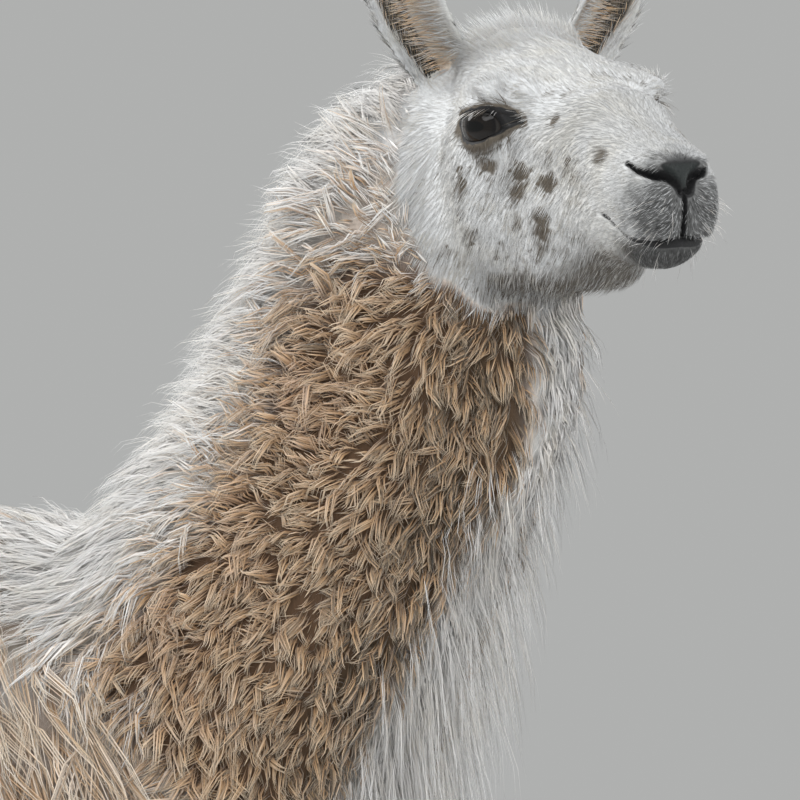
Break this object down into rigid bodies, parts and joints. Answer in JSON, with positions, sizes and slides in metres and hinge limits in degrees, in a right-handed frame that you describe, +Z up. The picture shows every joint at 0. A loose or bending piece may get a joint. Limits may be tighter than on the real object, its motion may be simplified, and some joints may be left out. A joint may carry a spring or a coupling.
{
  "type": "llama, standing, still life-size model",
  "caption": "Life-size standing llama with a woolly fleece, upright cupped ears and its head turned to its right; a still animal model that rests on its own feet.",
  "frame": {"origin": "on the floor, in the middle of the model's bounding box seen from above", "axes": "+X the way the body faces, +Y the animal's left, +Z up"},
  "size_m": [1.5406, 0.4598, 1.6482],
  "materials": {
    "white_coat": "short white hair and long cream wool, matt",
    "fawn_fleece": "curly fawn wool, matt",
    "eyeball": "wet, near black, glossy",
    "nail_horn": "dark horn, slightly worn"
  },
  "bodies": {
    "root": {"trunk": "white_coat", "neck": "fawn_fleece", "head": "white_coat", "lower_jaw": "white_coat", "tail": "white_coat", "eye_right": "eyeball", "ear_right": "white_coat", "eye_left": "eyeball", "ear_left": "white_coat", "foreleg_right_upper": "white_coat", "foreleg_right_shank": "white_coat", "foreleg_right_foot": "white_coat", "nail_fore_right_inner": "nail_horn", "nail_fore_right_outer": "nail_horn", "foreleg_left_upper": "white_coat", "foreleg_left_shank": "white_coat", "foreleg_left_foot": "white_coat", "nail_fore_left_inner": "nail_horn", "nail_fore_left_outer": "nail_horn", "hindleg_right_upper": "white_coat", "hindleg_right_shank": "white_coat", "hindleg_right_foot": "white_coat", "nail_hind_right_inner": "nail_horn", "nail_hind_right_outer": "nail_horn", "hindleg_left_upper": "white_coat", "hindleg_left_shank": "white_coat", "hindleg_left_foot": "white_coat", "nail_hind_left_inner": "nail_horn", "nail_hind_left_outer": "nail_horn"}
  },
  "joints": []
}
